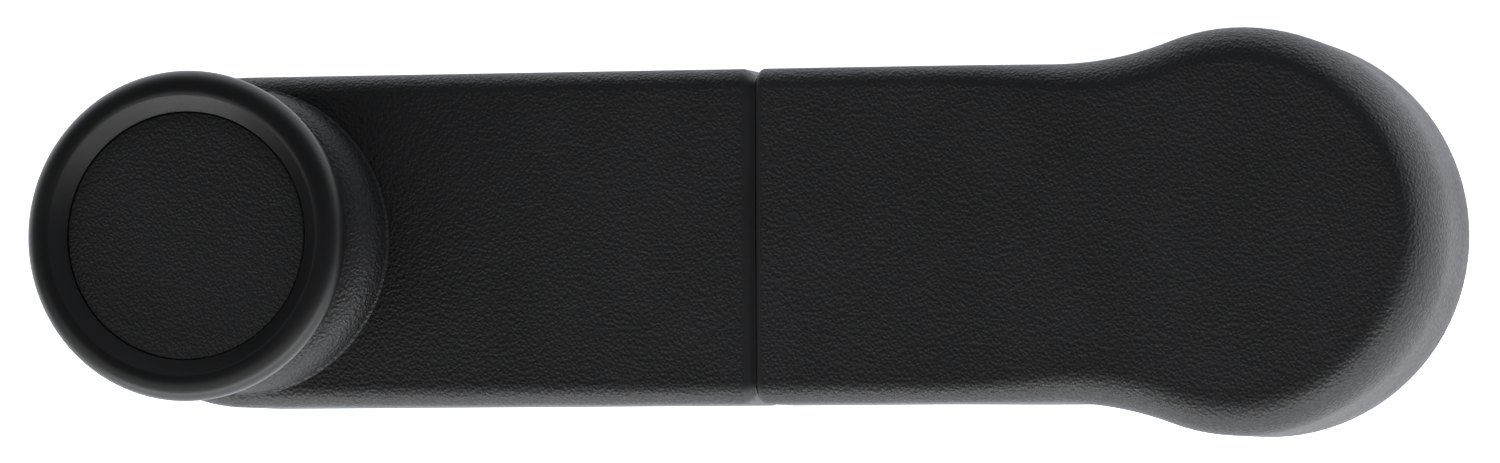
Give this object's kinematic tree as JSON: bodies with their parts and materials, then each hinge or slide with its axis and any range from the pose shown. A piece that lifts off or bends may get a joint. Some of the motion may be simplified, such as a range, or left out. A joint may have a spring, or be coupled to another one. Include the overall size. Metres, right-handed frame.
{
  "type": "window winder crank handle",
  "caption": "Grained plastic crank handle for a vehicle window winder, with a round hub, a clipped-on hub cover, a flat arm and a free-spinning rimmed knob.",
  "frame": {"origin": "on the spindle axis, in the plane of the door trim that the friction ring bears on", "axes": "+Z out of the door towards the hand, -X along the arm to the knob, +Y across the arm"},
  "size_m": [0.1391, 0.0404, 0.0435],
  "materials": {
    "grained_plastic": "black moulded plastic with a fine leather grain and a soft sheen",
    "cap_plastic": "black moulded plastic disc with the same fine leather grain",
    "smooth_plastic": "smooth satin black plastic, polished on the rolled rim",
    "back_plastic": "plain black plastic with a spark-eroded matt texture",
    "nylon": "natural off-white nylon",
    "zinc": "dull grey die-cast zinc alloy",
    "steel": "bright zinc-plated steel",
    "spring_steel": "dark tempered spring steel",
    "brass": "sintered bronze bearing metal"
  },
  "bodies": {
    "door_side": {"friction_ring": "back_plastic"},
    "crank": {"arm_core": "zinc", "hub_sleeve": "steel", "plain_washer": "steel", "spring_washer": "spring_steel", "retaining_screw": "steel", "arm_shell": "grained_plastic", "back_cover": "back_plastic", "shell_screw_inner": "steel", "shell_screw_outer": "steel", "cover_clip_left": "spring_steel", "cover_clip_right": "spring_steel", "knob_pin": "steel", "pin_washer": "steel", "knob_thrust_washer": "nylon", "knob_wave_washer": "spring_steel", "knob_retainer": "spring_steel"},
    "cover": {"hub_cover": "grained_plastic"},
    "knob": {"knob_bush": "brass", "knob_body": "smooth_plastic", "knob_cap": "cap_plastic"}
  },
  "joints": [
    {"name": "crank_turn", "type": "hinge", "parent": "door_side", "child": "crank", "pos_m": [0, 0, 0], "axis": [0, 0, 1], "continuous": true},
    {"name": "cover_lift", "type": "slide", "parent": "crank", "child": "cover", "axis": [0, 0, 1], "range_m": [0, 0.045]},
    {"name": "knob_spin", "type": "hinge", "parent": "crank", "child": "knob", "pos_m": [-0.102, 0, 0], "axis": [0, 0, 1], "continuous": true}
  ]
}
